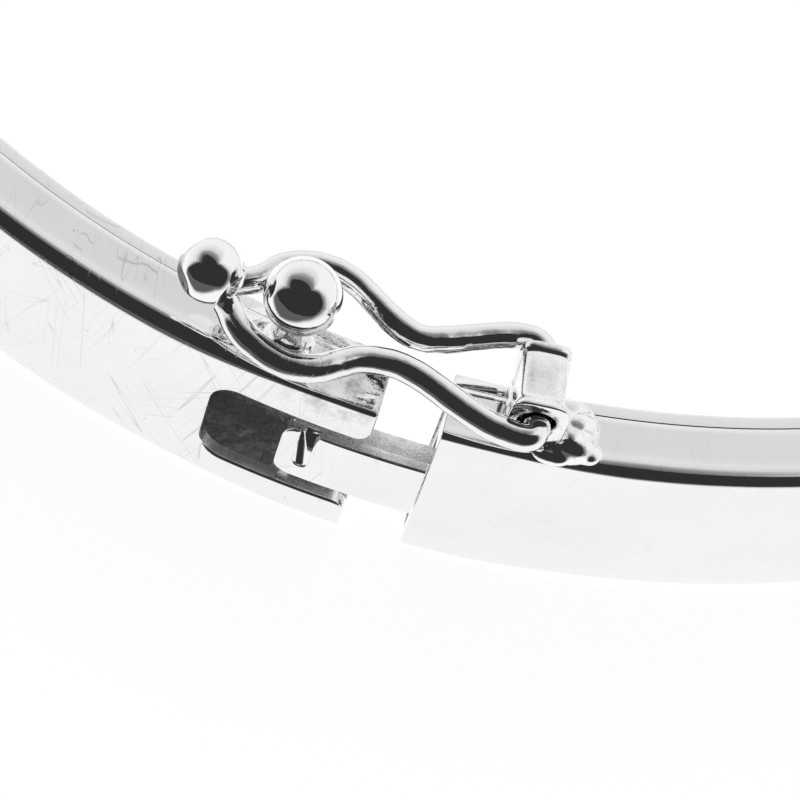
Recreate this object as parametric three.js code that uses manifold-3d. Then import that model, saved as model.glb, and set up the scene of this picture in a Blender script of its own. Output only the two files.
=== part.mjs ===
// Hinged bangle bracelet with a push-in tongue clasp and a figure-eight safety catch.
//
// Frame, in millimetres: the bangle lies flat on its lower side wall at z = 0 with the ring's axis along +Z.
// The clasp is in the middle of the -Y side and the hinge in the middle of the +Y side. The half with
// the latch box is on -X, the half with the tongue on +X. The safety catch is on the upper side wall.
//
// A place on the band is given as (across, depth, z): across is its x, depth is how far it lies inside
// the crown of the outer face, and z is the height over the lower side wall.

import * as THREE from 'three';
import { mergeVertices } from 'three/addons/utils/BufferGeometryUtils.js';
import Module from 'manifold-3d';

// ---- driving dimensions ----

const RING_HALF_X = 31; // outer oval, centre to crown
const RING_HALF_Y = 28;
const BAND_WIDTH = 6.55; // along the ring's axis
const BAND_DEPTH = 2.6; // crown of the outer face to the inner face
const CROWN = 0.2; // rise of the outer face over its width
const EDGE_RADIUS = 0.5;
const SHEET = 0.45;
const SEAM = 0.03; // between soldered pieces
const WALL_DEPTH = BAND_DEPTH - SHEET - SEAM; // the side walls end on the inner liner

const CLASP_GAP = 2.0; // between the two halves, as worn, before the tongue is pushed home
const HINGE_END = 1.3; // from the hinge's axis to the end of each half
const HALF_STEPS = 44; // stations along each half

const SLOT = { end: -5.97, width: 3.7, corner: 0.85, mouth: 0.5 };
const STOP_PLATE_X = -7.3;
const LATCH_BAR = { x: -4.0, length: 0.4, depth: 0.35, width: 0.9 };

const TONGUE = { nose: -3.58, root: 0.95, width: 2.5, top: 0.05, thickness: 0.47, corner: 0.55 };
const LEAF = { thickness: 0.5, nose: -3.4, tail: 2.3, width: 2.3 };
const LUG = { x: -3.4, length: 0.4, width: 4.2, drop: 0.12 }; // reaches under the latch bars
const GROOVE = { x: -2.78, width: 0.45, depth: 0.25, end: -0.55 };
const ROOT_BLOCK = { x: 1.75, width: 2.4, clear: 0.25 };
const END_PLATE_WINDOW = { depth: 1.6, clear: 0.3, corner: 0.1 };

const BALL = { across: -4.43, depth: 1.72, radius: 1.21, rise: 2.34, stem: 0.5 };
const TIP_BALL = { x: -7.04, y: -25.89, radius: 1.03, rise: 2.1 };
const WIRE_RADIUS = 0.46;
const WIRE_RISE = 1.25; // the catch wire's centre line over the side wall
const POST = { across: 3.62, depth: 1.75, length: 2.4, width: 1.5, height: 1.75, bore: 0.56, rim: 0.12 };
const HOOK = { lean: 0.22, bulge: 0.05, entry: 0.25, inside: 0.6 }; // the wire where it turns into the post
const SOLDER_LUMP = { across: 1.62, depth: 1.5, rise: 0.12, radii: [0.75, 0.8, 0.62] }; // beside the post
const SADDLE = { width: 2.0, length: 1.6, shift: -0.15 }; // under the post

const HINGE = {
  y: 27.19, barrel: 1.1, bore: 0.53, pin: 0.45, head: 0.75, headHeight: 0.2, tab: 0.72, clear: 0.1,
};
const KNUCKLE_Z = [0.28, 2.2, 4.35, 6.27];

// ---- solids ----

const wasm = await Module();
wasm.setup();

function toSolid(geometry) {
  const bare = geometry.clone();
  bare.deleteAttribute('normal');
  bare.deleteAttribute('uv');
  const merged = mergeVertices(bare, 1e-5);
  return new wasm.Manifold(new wasm.Mesh({
    numProp: 3,
    vertProperties: Float32Array.from(merged.attributes.position.array),
    triVerts: Uint32Array.from(merged.index.array),
  }));
}

function toGeometry(solid) {
  const mesh = solid.getMesh();
  const geometry = new THREE.BufferGeometry();
  geometry.setAttribute('position', new THREE.BufferAttribute(Float32Array.from(mesh.vertProperties), 3));
  geometry.setIndex(new THREE.BufferAttribute(Uint32Array.from(mesh.triVerts), 1));
  return geometry;
}

const cut = (geometry, ...cutters) => toGeometry(
  cutters.reduce((solid, cutter) => solid.subtract(toSolid(cutter)), toSolid(geometry)),
);
const join = (...pieces) => toGeometry(pieces.map(toSolid).reduce((all, piece) => all.add(piece)));
const keepInside = (geometry, limit) => toGeometry(toSolid(geometry).intersect(toSolid(limit)));

// ---- the oval band ----

// Crown of the outer face and the inward direction at a turn of the oval, 0 at the clasp and pi at the hinge.
function station(turn) {
  const crown = new THREE.Vector2(RING_HALF_X * Math.sin(turn), -RING_HALF_Y * Math.cos(turn));
  const inward = new THREE.Vector2(-RING_HALF_Y * Math.sin(turn), RING_HALF_X * Math.cos(turn)).normalize();
  return { crown, inward };
}

const turnAt = (across) => Math.asin(across / RING_HALF_X);

function onBand(across, depth, z) {
  const { crown, inward } = station(turnAt(across));
  return new THREE.Vector3(crown.x + depth * inward.x, crown.y + depth * inward.y, z);
}

// A closed solid through rings of points that all have the same count; the first and last are capped.
function loft(rings, outline) {
  const count = outline.length;
  const position = rings.flat().flatMap((p) => [p.x, p.y, p.z]);
  const faces = [];
  for (let r = 0; r + 1 < rings.length; r++) {
    for (let i = 0; i < count; i++) {
      const a = r * count + i;
      const b = r * count + (i + 1) % count;
      faces.push([a, b, b + count], [a, b + count, a + count]);
    }
  }
  const last = (rings.length - 1) * count;
  const clockwise = THREE.ShapeUtils.isClockWise(outline);
  for (const triangle of THREE.ShapeUtils.triangulateShape(outline, [])) {
    const [i, j, k] = clockwise ? triangle.reverse() : triangle;
    faces.push([k, j, i], [last + i, last + j, last + k]);
  }
  const geometry = new THREE.BufferGeometry();
  geometry.setAttribute('position', new THREE.Float32BufferAttribute(position, 3));
  const outward = signedVolume(position, faces) > 0;
  geometry.setIndex(faces.flatMap(([i, j, k]) => (outward ? [i, j, k] : [i, k, j])));
  return geometry;
}

function signedVolume(position, faces) {
  const corner = (i) => new THREE.Vector3().fromArray(position, 3 * i);
  return faces.reduce((sum, [i, j, k]) => sum + corner(i).dot(corner(j).cross(corner(k))), 0);
}

// Sweeps a section, given as (depth, z) points, along the band from one turn to another.
function alongBand(section, from, to, steps) {
  const rings = [];
  for (let s = 0; s <= steps; s++) {
    const { crown, inward } = station(from + (to - from) * s / steps);
    rings.push(section.map(({ x: depth, y: z }) => (
      new THREE.Vector3(crown.x + depth * inward.x, crown.y + depth * inward.y, z)
    )));
  }
  return loft(rings, section);
}

const crownDepth = (z) => CROWN * (2 * z / BAND_WIDTH - 1) ** 2;

function facePoints(z0, z1, depth, steps) {
  const points = [];
  for (let i = 0; i <= steps; i++) {
    const z = z0 + (z1 - z0) * i / steps;
    points.push(new THREE.Vector2(depth + crownDepth(z), z));
  }
  return points;
}

function edgeArc(z, startAngle) {
  const steps = 3;
  const points = [];
  for (let i = 0; i < steps; i++) {
    const angle = startAngle - Math.PI / 2 * i / steps;
    const depth = CROWN + EDGE_RADIUS * (1 + Math.cos(angle));
    points.push(new THREE.Vector2(depth, z + EDGE_RADIUS * Math.sin(angle)));
  }
  return points;
}

// Outer face with both side walls, open towards the wrist.
function shellSection() {
  const top = BAND_WIDTH;
  return [
    new THREE.Vector2(WALL_DEPTH, 0),
    ...edgeArc(EDGE_RADIUS, -Math.PI / 2),
    ...facePoints(EDGE_RADIUS, top - EDGE_RADIUS, 0, 6),
    ...edgeArc(top - EDGE_RADIUS, Math.PI).slice(1),
    new THREE.Vector2(CROWN + EDGE_RADIUS, top),
    new THREE.Vector2(WALL_DEPTH, top),
    new THREE.Vector2(WALL_DEPTH, top - SHEET),
    ...facePoints(SHEET, top - SHEET, SHEET, 4).reverse(),
    new THREE.Vector2(WALL_DEPTH, SHEET),
  ];
}

// What a plate across the hollow fills.
function coreSection() {
  const low = SHEET + SEAM;
  const high = BAND_WIDTH - low;
  return [
    new THREE.Vector2(WALL_DEPTH, low),
    ...facePoints(low, high, SHEET + SEAM, 4),
    new THREE.Vector2(WALL_DEPTH, high),
  ];
}

function stripSection(z0, z1, depth0, depth1) {
  return [
    new THREE.Vector2(depth1, z0),
    ...facePoints(z0, z1, depth0, 3),
    new THREE.Vector2(depth1, z1),
  ];
}

// The face against the wrist, a sheet of the band's full width with its inner corners taken off.
function linerSection() {
  const chamfer = 0.12;
  return [
    new THREE.Vector2(BAND_DEPTH, chamfer),
    new THREE.Vector2(BAND_DEPTH - chamfer, 0),
    new THREE.Vector2(BAND_DEPTH - SHEET, 0),
    new THREE.Vector2(BAND_DEPTH - SHEET, BAND_WIDTH),
    new THREE.Vector2(BAND_DEPTH - chamfer, BAND_WIDTH),
    new THREE.Vector2(BAND_DEPTH, BAND_WIDTH - chamfer),
  ];
}

// A prism along Y through the clasp, from an outline in (x, z).
function claspPrism(shape, yFrom, yTo, curveSegments = 5) {
  const prism = new THREE.ExtrudeGeometry(shape, { depth: yTo - yFrom, bevelEnabled: false, curveSegments });
  prism.rotateX(Math.PI / 2);
  prism.translate(0, yTo, 0);
  return prism;
}

function roundedRectangle(x0, x1, z0, z1, radius) {
  const shape = new THREE.Shape();
  shape.moveTo(x0 + radius, z0);
  shape.lineTo(x1 - radius, z0);
  shape.absarc(x1 - radius, z0 + radius, radius, -Math.PI / 2, 0);
  shape.lineTo(x1, z1 - radius);
  shape.absarc(x1 - radius, z1 - radius, radius, 0, Math.PI / 2);
  shape.lineTo(x0 + radius, z1);
  shape.absarc(x0 + radius, z1 - radius, radius, Math.PI / 2, Math.PI);
  shape.lineTo(x0, z0 + radius);
  shape.absarc(x0 + radius, z0 + radius, radius, Math.PI, 1.5 * Math.PI);
  return shape;
}

const MIDDLE = BAND_WIDTH / 2;
const CLASP_TURN = turnAt(CLASP_GAP / 2);
const HINGE_TURN = Math.PI - turnAt(HINGE_END);
const OUTSIDE_Y = -RING_HALF_Y - 1; // clear of the outer face
const HOLLOW_Y = -RING_HALF_Y + 1.3; // inside the hollow, behind the outer sheet

// ---- the two halves ----

const BOX = -1; // the half on -X
const TONGUED = 1; // the half on +X

const half = (side, section) => alongBand(section, side * CLASP_TURN, side * HINGE_TURN, HALF_STEPS);

// The slot is open at the clasp, where its mouth is rounded off into the two prongs.
function slotShape() {
  const { end, width, corner, mouth } = SLOT;
  const edge = -CLASP_GAP / 2;
  const low = MIDDLE - width / 2;
  const high = MIDDLE + width / 2;
  const shape = new THREE.Shape();
  shape.moveTo(edge + 0.5, low - mouth);
  shape.lineTo(edge + 0.5, high + mouth);
  shape.lineTo(edge, high + mouth);
  shape.absarc(edge - mouth, high + mouth, mouth, 0, -Math.PI / 2, true);
  shape.lineTo(end + corner, high);
  shape.absarc(end + corner, high - corner, corner, Math.PI / 2, Math.PI);
  shape.absarc(end + corner, low + corner, corner, Math.PI, 1.5 * Math.PI);
  shape.lineTo(edge - mouth, low);
  shape.absarc(edge - mouth, low - mouth, mouth, Math.PI / 2, 0, true);
  return shape;
}

function boxShell() {
  return cut(half(BOX, shellSection()), claspPrism(slotShape(), OUTSIDE_Y, HOLLOW_Y));
}

function plateAcross(from, thickness) {
  return alongBand(coreSection(), turnAt(from), turnAt(from + thickness), 1);
}

function hingeEndCap(side) {
  const inset = 0.05;
  const outer = Math.PI - turnAt(HINGE_END + inset);
  const inner = Math.PI - turnAt(HINGE_END + inset + SHEET);
  return alongBand(coreSection(), side * outer, side * inner, 1);
}

function latchBar(upper) {
  const under = SHEET + SEAM + 0.02;
  const { x, length, depth, width } = LATCH_BAR;
  const wall = SHEET + SEAM;
  const z0 = upper ? BAND_WIDTH - wall - width : wall;
  const section = stripSection(z0, z0 + width, under, under + CROWN + depth);
  return alongBand(section, turnAt(x), turnAt(x + length), 1);
}

function claspEndPlate() {
  const start = CLASP_GAP / 2 + 0.05;
  const { depth, clear, corner } = END_PLATE_WINDOW;
  const halfWidth = LEAF.width / 2 + clear;
  const window = roundedRectangle(0, 2 * CLASP_GAP, MIDDLE - halfWidth, MIDDLE + halfWidth, corner);
  return cut(plateAcross(start, SHEET), claspPrism(window, OUTSIDE_Y, -RING_HALF_Y + depth, 1));
}

// ---- tongue ----

function tongueStrip() {
  const { nose, root, width, top, thickness, corner } = TONGUE;
  const margin = 0.5;
  const blank = alongBand(
    stripSection(MIDDLE - width, MIDDLE + width, top, top + thickness),
    turnAt(nose - margin), turnAt(root), 8,
  );
  const outline = roundedRectangle(nose, root + 2, MIDDLE - width / 2, MIDDLE + width / 2, corner);
  const groove = claspPrism(
    roundedRectangle(
      GROOVE.x - GROOVE.width / 2, GROOVE.x + GROOVE.width / 2, MIDDLE + GROOVE.end, MIDDLE + width, 0.2,
    ),
    OUTSIDE_Y, onBand(GROOVE.x, top + GROOVE.depth, 0).y,
  );
  return cut(keepInside(blank, claspPrism(outline, OUTSIDE_Y, -RING_HALF_Y + 3)), groove);
}

// The spring leaf under the strip, with the two lugs that catch behind the latch bars.
function tongueLeaf() {
  const depth = TONGUE.top + TONGUE.thickness + SEAM;
  const blank = (from, to, width) => alongBand(
    stripSection(MIDDLE - width / 2, MIDDLE + width / 2, depth, depth + LEAF.thickness),
    turnAt(from), turnAt(to), 8,
  );
  const lugs = alongBand(
    stripSection(MIDDLE - LUG.width / 2, MIDDLE + LUG.width / 2, depth + LUG.drop, depth + LEAF.thickness),
    turnAt(LUG.x), turnAt(LUG.x + LUG.length), 1,
  );
  return join(blank(LEAF.nose, LEAF.tail, LEAF.width), lugs);
}

function tongueRootBlock() {
  const { x, width, clear } = ROOT_BLOCK;
  const top = TONGUE.top + TONGUE.thickness + LEAF.thickness + SEAM + clear;
  const section = stripSection(MIDDLE - width / 2, MIDDLE + width / 2, top, WALL_DEPTH);
  return alongBand(section, turnAt(x), turnAt(LEAF.tail), 2);
}

// ---- safety catch ----

function catchBall() {
  const { radius, rise, stem } = BALL;
  const foot = SEAM;
  const start = Math.asin(stem / radius);
  const steps = 10;
  const profile = [new THREE.Vector2(0, foot), new THREE.Vector2(stem, foot)];
  for (let i = 0; i <= steps; i++) {
    const angle = start + (Math.PI - start) * i / steps;
    const onAxis = i === steps;
    profile.push(new THREE.Vector2(onAxis ? 0 : radius * Math.sin(angle), rise - radius * Math.cos(angle)));
  }
  return new THREE.LatheGeometry(profile, 20).rotateX(Math.PI / 2);
}

function ballSolderSeat() {
  const inner = BALL.stem + SEAM;
  const profile = [[inner, SEAM], [0.82, SEAM], [0.78, 0.14], [0.62, 0.24], [inner, 0.42], [inner, SEAM]];
  return new THREE.LatheGeometry(profile.map(([r, z]) => new THREE.Vector2(r, z)), 16).rotateX(Math.PI / 2);
}

// The post is built along +Z and then laid along the band's inward direction.
function postShape(grow) {
  const w = POST.width / 2 + grow;
  const h = POST.height / 2 + grow;
  const shape = roundedRectangle(-w, w, -h, h, 0.35);
  shape.holes.push(new THREE.Path().absarc(0, 0, POST.bore, 0, 2 * Math.PI, true));
  return shape;
}

function catchPost() {
  const rimLength = 0.35;
  const slice = (grow, from, length) => new THREE.ExtrudeGeometry(
    postShape(grow), { depth: length, bevelEnabled: false, curveSegments: 6 },
  ).translate(0, 0, from - POST.length / 2);
  return join(
    slice(0, 0, POST.length),
    slice(POST.rim, 0, rimLength),
    slice(POST.rim, POST.length - rimLength, rimLength),
  );
}

const postCentre = onBand(POST.across, POST.depth, BAND_WIDTH + WIRE_RISE);
const postInward = (() => {
  const { inward } = station(turnAt(POST.across));
  return new THREE.Vector3(inward.x, inward.y, 0);
})();
const alongPost = (distance) => postCentre.clone().addScaledVector(postInward, distance);

// The solder under the post fills the room down to the side wall and runs out into a lump on one side.
function postSolder() {
  const floor = BAND_WIDTH + SEAM;
  const under = BAND_WIDTH + WIRE_RISE - POST.height / 2 - POST.rim - SEAM;
  const saddle = new THREE.BoxGeometry(SADDLE.width, SADDLE.length, under - floor);
  saddle.rotateZ(Math.atan2(postInward.y, postInward.x) - Math.PI / 2);
  const foot = alongPost(SADDLE.shift);
  saddle.translate(foot.x, foot.y, (under + floor) / 2);
  const lump = new THREE.SphereGeometry(1, 16, 8);
  lump.scale(...SOLDER_LUMP.radii);
  const beside = onBand(POST.across + SOLDER_LUMP.across, SOLDER_LUMP.depth, floor);
  lump.translate(beside.x, beside.y, floor + SOLDER_LUMP.rise);
  const limit = new THREE.BoxGeometry(8, 8, 4).translate(beside.x, beside.y, floor + 2);
  return keepInside(join(saddle, lump), limit);
}

// Centre line of the catch wire: from the tip along the outer side, through the post and back.
const WIRE_OUTER_SIDE = [
  [-6.3, -26.35], [-5.69, -27.09], [-4.96, -27.53], [-4.27, -27.77], [-3.66, -27.74], [-3.09, -27.54],
  [-2.56, -27.17], [-2.02, -26.84], [-1.43, -26.7], [-0.81, -26.67], [-0.16, -26.81], [0.53, -27.08],
  [1.23, -27.39], [2.09, -27.71], [2.85, -27.83],
];
const WIRE_INNER_SIDE = [
  [2.67, -24.3], [2.07, -24.45], [1.36, -24.75], [0.65, -25.09], [0.09, -25.32], [-0.5, -25.46],
  [-1.17, -25.25], [-1.91, -24.78], [-2.67, -24.27], [-3.35, -24.03], [-3.98, -23.99], [-4.56, -24.16],
  [-5.1, -24.49], [-5.58, -25.07], [-6.3, -25.5],
];

function catchWire(radius) {
  const z = BAND_WIDTH + WIRE_RISE;
  const bend = POST.length / 2 + WIRE_RADIUS;
  const { lean, bulge, entry, inside } = HOOK;
  const leaning = new THREE.Vector3(-lean, 0, 0);
  const points = [
    ...WIRE_OUTER_SIDE.map(([x, y]) => new THREE.Vector3(x, y, z)),
    alongPost(-bend - bulge).add(leaning),
    alongPost(-bend + entry),
    alongPost(-inside),
    alongPost(inside),
    alongPost(bend - entry),
    alongPost(bend + bulge).add(leaning),
    ...WIRE_INNER_SIDE.map(([x, y]) => new THREE.Vector3(x, y, z)),
  ];
  const section = new THREE.Shape().absarc(0, 0, radius, 0, 2 * Math.PI);
  return new THREE.ExtrudeGeometry(section, {
    steps: 92, bevelEnabled: false, curveSegments: 5, extrudePath: new THREE.CatmullRomCurve3(points),
  });
}

function tipBall() {
  const ball = new THREE.SphereGeometry(TIP_BALL.radius, 20, 12);
  ball.translate(TIP_BALL.x, TIP_BALL.y, BAND_WIDTH + TIP_BALL.rise);
  return cut(ball, catchWire(WIRE_RADIUS + SEAM));
}

// ---- hinge ----

// A knuckle round the pin, with the tab that joins it to the end cap on its side.
function knuckle(side, low, high) {
  const { barrel, bore, tab } = HINGE;
  const reach = HINGE_END - 0.1; // the end faces lean towards the axis
  const tangent = Math.asin(tab / barrel);
  const shape = new THREE.Shape();
  shape.absarc(0, 0, barrel, tangent - Math.PI, Math.PI - tangent);
  shape.lineTo(-reach, tab);
  shape.lineTo(-reach, -tab);
  shape.holes.push(new THREE.Path().absarc(0, 0, bore, 0, 2 * Math.PI, true));
  const body = new THREE.ExtrudeGeometry(
    shape, { depth: high - low, bevelEnabled: false, curveSegments: 14 },
  );
  if (side === TONGUED) body.rotateZ(Math.PI);
  return body.translate(0, HINGE.y, low);
}

function hingePin() {
  const [low, , , high] = KNUCKLE_Z;
  const { pin, head, headHeight } = HINGE;
  const bottom = low - headHeight;
  const top = high + headHeight;
  const profile = [
    [0, bottom], [head, bottom], [head, low - SEAM], [pin, low - SEAM],
    [pin, high + SEAM], [head, high + SEAM], [head, top], [0, top],
  ];
  return new THREE.LatheGeometry(profile.map(([r, z]) => new THREE.Vector2(r, z)), 16).rotateX(Math.PI / 2);
}

// ---- assembly ----

const silver = { color: 0xd9dadb, metalness: 1, roughness: 0.16 };
const wornSilver = { color: 0xb9babb, metalness: 1, roughness: 0.38 };
const darkSilver = { color: 0x5d5c5a, metalness: 1, roughness: 0.5 };
const solder = { color: 0xc4c4c2, metalness: 1, roughness: 0.3 };

const bangle = new THREE.Group();

function add(name, geometry, finish, position = new THREE.Vector3()) {
  geometry.computeVertexNormals();
  const mesh = new THREE.Mesh(geometry, new THREE.MeshStandardMaterial(finish));
  mesh.name = name;
  mesh.position.copy(position);
  bangle.add(mesh);
  return mesh;
}

add('box_half_outer_shell', boxShell(), silver);
add('box_half_inner_liner', half(BOX, linerSection()), silver);
add('box_half_stop_plate', plateAcross(STOP_PLATE_X, SHEET), darkSilver);
add('box_half_hinge_end_cap', hingeEndCap(BOX), wornSilver);
add('latch_bar_upper', latchBar(true), darkSilver);
add('latch_bar_lower', latchBar(false), darkSilver);

add('tongue_half_outer_shell', half(TONGUED, shellSection()), silver);
add('tongue_half_inner_liner', half(TONGUED, linerSection()), silver);
add('tongue_half_clasp_end_plate', claspEndPlate(), wornSilver);
add('tongue_half_hinge_end_cap', hingeEndCap(TONGUED), wornSilver);
add('tongue_root_block', tongueRootBlock(), darkSilver);

add('tongue_strip', tongueStrip(), silver);
add('tongue_spring_leaf', tongueLeaf(), darkSilver);

const ballFoot = onBand(BALL.across, BALL.depth, BAND_WIDTH);
add('catch_ball', catchBall(), silver, ballFoot);
add('catch_ball_solder', ballSolderSeat(), solder, ballFoot);

const post = add('catch_post', catchPost(), wornSilver, postCentre);
post.up.set(0, 0, 1);
post.lookAt(alongPost(1));
add('catch_post_solder', postSolder(), solder);
add('catch_wire', catchWire(WIRE_RADIUS), silver);
add('catch_tip_ball', tipBall(), silver);

const [pinFoot, lowerTop, upperFoot, pinTop] = KNUCKLE_Z;
add('hinge_knuckle_lower', knuckle(BOX, pinFoot, lowerTop), wornSilver);
add('hinge_knuckle_middle', knuckle(TONGUED, lowerTop + HINGE.clear, upperFoot - HINGE.clear), wornSilver);
add('hinge_knuckle_upper', knuckle(BOX, upperFoot, pinTop), wornSilver);
add('hinge_pin', hingePin(), wornSilver, new THREE.Vector3(0, HINGE.y, 0));

export default bangle;
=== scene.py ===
import math

import bmesh
import bpy
from mathutils import Matrix, Vector, noise


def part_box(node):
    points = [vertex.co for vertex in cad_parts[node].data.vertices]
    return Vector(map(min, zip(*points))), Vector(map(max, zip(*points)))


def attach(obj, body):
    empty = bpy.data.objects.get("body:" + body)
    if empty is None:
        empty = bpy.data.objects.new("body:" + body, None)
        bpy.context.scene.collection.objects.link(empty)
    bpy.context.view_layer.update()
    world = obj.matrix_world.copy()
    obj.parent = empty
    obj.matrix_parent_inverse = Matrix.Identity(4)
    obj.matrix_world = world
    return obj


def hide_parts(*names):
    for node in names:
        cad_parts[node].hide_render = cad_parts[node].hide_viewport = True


# A hinged silver bangle with a push-in tongue clasp and a figure-eight safety catch.
# Lengths are in millimetres in the CAD frame, and become metres where a mesh is made.
# A place on the band is (turn, depth, z): the turn of the oval, 0 at the clasp and pi at the hinge,
# the depth inside the crown of the outer face, and the height over the lower side wall.

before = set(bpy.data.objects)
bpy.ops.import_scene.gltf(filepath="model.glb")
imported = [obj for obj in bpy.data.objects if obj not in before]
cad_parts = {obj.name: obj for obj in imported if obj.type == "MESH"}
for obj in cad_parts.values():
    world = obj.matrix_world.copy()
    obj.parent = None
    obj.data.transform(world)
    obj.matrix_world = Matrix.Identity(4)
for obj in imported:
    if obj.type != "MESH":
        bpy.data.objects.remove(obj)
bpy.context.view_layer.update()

MM = 0.001

# ---- driving dimensions ----

RING_X, RING_Y = 31.0, 28.0
WIDTH = 6.55
MIDDLE = WIDTH / 2
DEPTH = 2.6
CROWN = 0.2
SHEET = 0.45
SEAM = 0.03
WALL_DEPTH = DEPTH - SHEET - SEAM
EDGE_RADIUS = 0.49
# Where the two halves meet the edges are filed sharper: (edge radius at the clasp, how far it runs).
CLASP_EDGE = {-1: (0.16, 5.5), 1: (0.26, 5.0)}
LIP = 0.022
END_ROUND = 0.11
CLASP_HALF_GAP = 1.0
HINGE_END = 1.3

SLOT = {"end": -5.97, "half_width": 1.85, "corner": 0.85, "mouth": 0.5}
TONGUE = {"nose": -3.58, "root": 0.95, "half_width": 1.25, "top": 0.05, "thickness": 0.47, "corner": 0.55}
LEAF = {"nose": -3.4, "tail": 2.3, "half_width": 1.253, "thickness": 0.5}
LUG = {"x": -3.4, "length": 0.4, "half_width": 2.1, "drop": 0.12}
GROOVE = {"x": -2.78, "half_width": 0.25, "depth": 0.07, "end": -0.55}

BALL = {"radius": 1.2, "rise": 2.34, "stem": 0.5}
TIP_RADIUS = 1.03
WIRE_RADIUS = 0.46
WIRE_RISE = 1.25
POST = {"across": 3.62, "depth": 1.75, "length": 2.4, "width": 1.5, "height": 1.75, "bore": 0.56}
HINGE = {"y": 27.19, "barrel": 1.1, "bore": 0.53, "pin": 0.45, "head": 0.75, "tab": 0.72, "clear": 0.1}
KNUCKLE_Z = (0.28, 2.2, 4.35, 6.27)
KNUCKLE_POINTS = 96

STOP_PLATE_X = -7.3
LATCH_BAR = {"start": -4.0, "end": -3.6, "half_width": 0.45, "thickness": 0.5}
END_PLATE = {"x": 1.05, "window_end": 2.4, "window_half_width": 1.45, "window_corner": 0.12}
ROOT_BLOCK = {"x": 1.75, "half_width": 1.2, "under_leaf": 0.25}
FACE_SHARP, ROUND_SHARP, NEVER_SHARP = 38, 50, 180  # degrees between faces from which an edge stays sharp

BOX, TONGUED = -1, 1  # the side of the clasp, as the sign of x

# ---- the oval band ----


def turn_at(across):
    return math.asin(across / RING_X)


def on_band(turn, depth, z):
    crown = Vector((RING_X * math.sin(turn), -RING_Y * math.cos(turn), z))
    inward = Vector((-RING_Y * math.sin(turn), RING_X * math.cos(turn), 0)).normalized()
    return crown + inward * depth


def crown_depth(z):
    return CROWN * (2 * z / WIDTH - 1) ** 2


def smoothstep(t):
    t = min(max(t, 0.0), 1.0)
    return t * t * (3 - 2 * t)


# ---- meshes ----


def make_object(name, points, faces, sharp=FACE_SHARP):
    mesh = bpy.data.meshes.new(name)
    mesh.from_pydata([p * MM for p in points], [], faces)
    tidy = bmesh.new()
    tidy.from_mesh(mesh)
    bmesh.ops.recalc_face_normals(tidy, faces=tidy.faces)
    tidy.to_mesh(mesh)
    tidy.free()
    obj = bpy.data.objects.new(name, mesh)
    bpy.context.scene.collection.objects.link(obj)
    smooth(obj, sharp)
    return obj


def smooth(obj, sharp=FACE_SHARP):
    mesh = obj.data
    mesh.shade_smooth()
    mesh.set_sharp_from_angle(angle=math.radians(sharp))


def loft(name, rings, closed=False, sharp=FACE_SHARP):
    """Joins rings of points that all have the same count. The ends are capped unless the loft is closed."""
    count = len(rings[0])
    points = [Vector(p) for ring in rings for p in ring]
    faces = []
    spans = len(rings) if closed else len(rings) - 1
    for r in range(spans):
        start, following = r * count, (r + 1) % len(rings) * count
        for i in range(count):
            j = (i + 1) % count
            faces.append((start + i, start + j, following + j, following + i))
    if not closed:
        last = (len(rings) - 1) * count
        faces.append(tuple(range(count)))
        faces.append(tuple(range(last, last + count)))
    return make_object(name, points, faces, sharp)


def bake_modifiers(obj):
    """Replaces the mesh by what its modifiers make of it."""
    graph = bpy.context.evaluated_depsgraph_get()
    made = bpy.data.meshes.new_from_object(obj.evaluated_get(graph))
    obj.modifiers.clear()
    obj.data = made


def combine(obj, operation, other):
    """Unites the object with another, or cuts the other out of it. The other is used up."""
    change = obj.modifiers.new("combine", "BOOLEAN")
    change.operation, change.object, change.solver = operation, other, "EXACT"
    bpy.context.view_layer.update()
    bake_modifiers(obj)
    bpy.data.objects.remove(other)
    smooth(obj)


def carve(obj, cutter):
    combine(obj, "DIFFERENCE", cutter)
    weighted = obj.modifiers.new("even normals", "WEIGHTED_NORMAL")
    weighted.keep_sharp = True


def arc(centre, radius, start, end, steps):
    """Points of an arc in a plane, angles in degrees."""
    angles = [math.radians(start + (end - start) * i / steps) for i in range(steps + 1)]
    return [(centre[0] + radius * math.cos(a), centre[1] + radius * math.sin(a)) for a in angles]


def circle(radius, count):
    angles = [2 * math.pi * i / count for i in range(count)]
    return [(radius * math.cos(a), radius * math.sin(a)) for a in angles]


def spread(start, end, steps):
    """Evenly spaced numbers from start to end, both included."""
    return [start + (end - start) * i / steps for i in range(steps + 1)]


def end_steps(radius, steps=5):
    """(distance from the end, inset) pairs that round off an end."""
    quarter = [math.pi / 2 * i / steps for i in range(steps + 1)]
    return [(radius * (1 - math.sin(q)), radius * (1 - math.cos(q))) for q in reversed(quarter)]


# ---- band sections, as (depth, z) ----


def edge_radius(turn):
    across = abs(RING_X * math.sin(turn)) if abs(turn) < math.pi / 2 else RING_X
    at_clasp, run = CLASP_EDGE[BOX if turn < 0 else TONGUED]
    return at_clasp + (EDGE_RADIUS - at_clasp) * smoothstep((across - 2.2) / run)


def wall_and_edge(inset, seam, full_radius):
    """Upper side wall from the liner outwards, and the edge up to where the outer face starts."""
    radius = full_radius - inset
    slope = math.atan(4 * CROWN * (1 - 2 * full_radius / WIDTH) / WIDTH)
    face_z = WIDTH - full_radius * (1 - math.sin(slope))
    centre = (crown_depth(face_z) + full_radius * math.cos(slope), face_z - full_radius * math.sin(slope))
    top = WIDTH - inset
    points = [(WALL_DEPTH, top - LIP - seam), (WALL_DEPTH - seam * 0.35, top - LIP - seam * 0.35)]
    points += [(depth, top - LIP) for depth in spread(WALL_DEPTH - seam, centre[0] + 0.26, 6)]
    points += [(centre[0] + 0.18, top - LIP * 0.75), (centre[0] + 0.09, top - LIP * 0.2)]
    points += arc(centre, radius, 90, 180 - math.degrees(slope), 12)
    return points


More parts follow.
